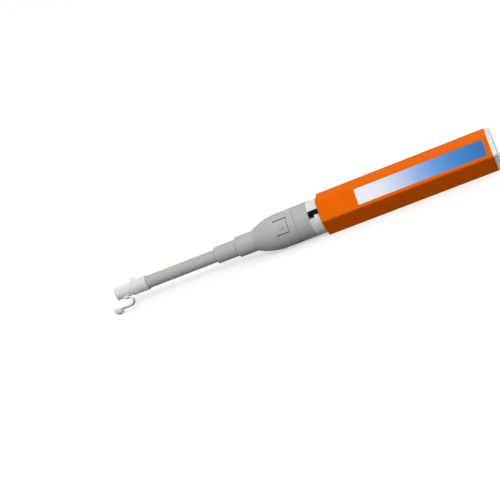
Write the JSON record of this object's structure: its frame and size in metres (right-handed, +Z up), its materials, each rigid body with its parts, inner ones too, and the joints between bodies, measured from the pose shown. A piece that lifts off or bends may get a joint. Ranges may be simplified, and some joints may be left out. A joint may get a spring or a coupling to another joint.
{
  "type": "fibre connector cleaning pen",
  "caption": "Push-to-clean pen with a hexagonal barrel, a sprung sliding nose, a stepped nozzle, tape reels and a guide cap with a flip lid, for fibre ferrules.",
  "frame": {"origin": "centre of the barrel's flat that the pen lies on", "axes": "+X along the pen from the cleaning tip to the push end, +Z up out of the surface it lies on, label flat turned up towards -Y"},
  "size_m": [0.2086, 0.0216, 0.019],
  "materials": {
    "orange_moulding": "satin moulded ABS",
    "label": "glossy printed film",
    "clear_white_moulding": "translucent polypropylene",
    "white_moulding": "satin acetal",
    "grey_moulding": "satin moulded ABS",
    "black_moulding": "satin acetal",
    "steel": "bright drawn",
    "spring_steel": "drawn spring wire",
    "tape": "dry woven microfibre tape"
  },
  "bodies": {
    "barrel": {"barrel": "orange_moulding", "label": "label", "rear_cap": "clear_white_moulding", "drive_rack": "white_moulding", "cam_follower": "white_moulding"},
    "carriage": {"inner_sleeve": "white_moulding", "collar": "grey_moulding", "bearing_plate": "white_moulding", "reel_frame_right": "white_moulding", "reel_frame_left": "white_moulding", "spring_seat": "white_moulding", "take_up_axle": "steel", "supply_axle": "steel", "ratchet_pawl": "white_moulding", "brake_washer": "spring_steel", "tape_reel_run": "tape", "return_spring": "spring_steel"},
    "take_up": {"take_up_reel": "black_moulding", "take_up_roll": "tape", "ratchet_wheel": "black_moulding", "pinion": "black_moulding"},
    "supply": {"supply_reel": "black_moulding", "supply_roll": "tape"},
    "cam": {"cam_shaft": "black_moulding"},
    "nose": {"nozzle": "grey_moulding", "guide_cap": "clear_white_moulding", "cap_strap": "clear_white_moulding", "tape_nozzle_run": "tape"},
    "cleaner": {"cleaning_shaft": "black_moulding", "cleaning_head": "white_moulding", "tape_tip_wrap": "tape"},
    "lid": {"flip_lid": "clear_white_moulding"}
  },
  "joints": [
    {"name": "nose_press", "type": "slide", "parent": "barrel", "child": "carriage", "axis": [1, 0, 0], "range_m": [0, 0.01], "stiffness_N_per_m": 250, "springref_m": -0.012, "deforming": ["return_spring"]},
    {"name": "nozzle_extend", "type": "slide", "parent": "carriage", "child": "nose", "axis": [-1, 0, 0], "range_m": [0, 0.007]},
    {"name": "take_up_spin", "type": "hinge", "parent": "carriage", "child": "take_up", "pos_m": [-0.01725, 0, 0.0095], "axis": [0, 0.5, 0.866], "range_deg": [-5, 150]},
    {"name": "supply_spin", "type": "hinge", "parent": "carriage", "child": "supply", "pos_m": [-0.00375, 0, 0.0095], "axis": [0, 0.5, 0.866], "range_deg": [-5, 150]},
    {"name": "cam_spin", "type": "hinge", "parent": "carriage", "child": "cam", "pos_m": [-0.03625, 0, 0.0095], "axis": [1, 0, 0], "range_deg": [-5, 185]},
    {"name": "tip_spin", "type": "hinge", "parent": "nose", "child": "cleaner", "pos_m": [-0.12325, 0, 0.0095], "axis": [1, 0, 0], "range_deg": [-5, 185]},
    {"name": "lid_flip", "type": "hinge", "parent": "nose", "child": "lid", "pos_m": [-0.156, -0.00267, 0.00569], "axis": [0, 0.8192, -0.5736], "range_deg": [0, 90], "stiffness_Nm_per_rad": 0.0004, "springref_deg": -20.05, "deforming": ["cap_strap"]}
  ],
  "couplings": [
    {"joint": "take_up_spin", "follows": "nose_press", "rad_per_m": 250},
    {"joint": "supply_spin", "follows": "nose_press", "rad_per_m": 166.67},
    {"joint": "cam_spin", "follows": "nose_press", "rad_per_m": 314.16},
    {"joint": "tip_spin", "follows": "nose_press", "rad_per_m": 314.16}
  ]
}
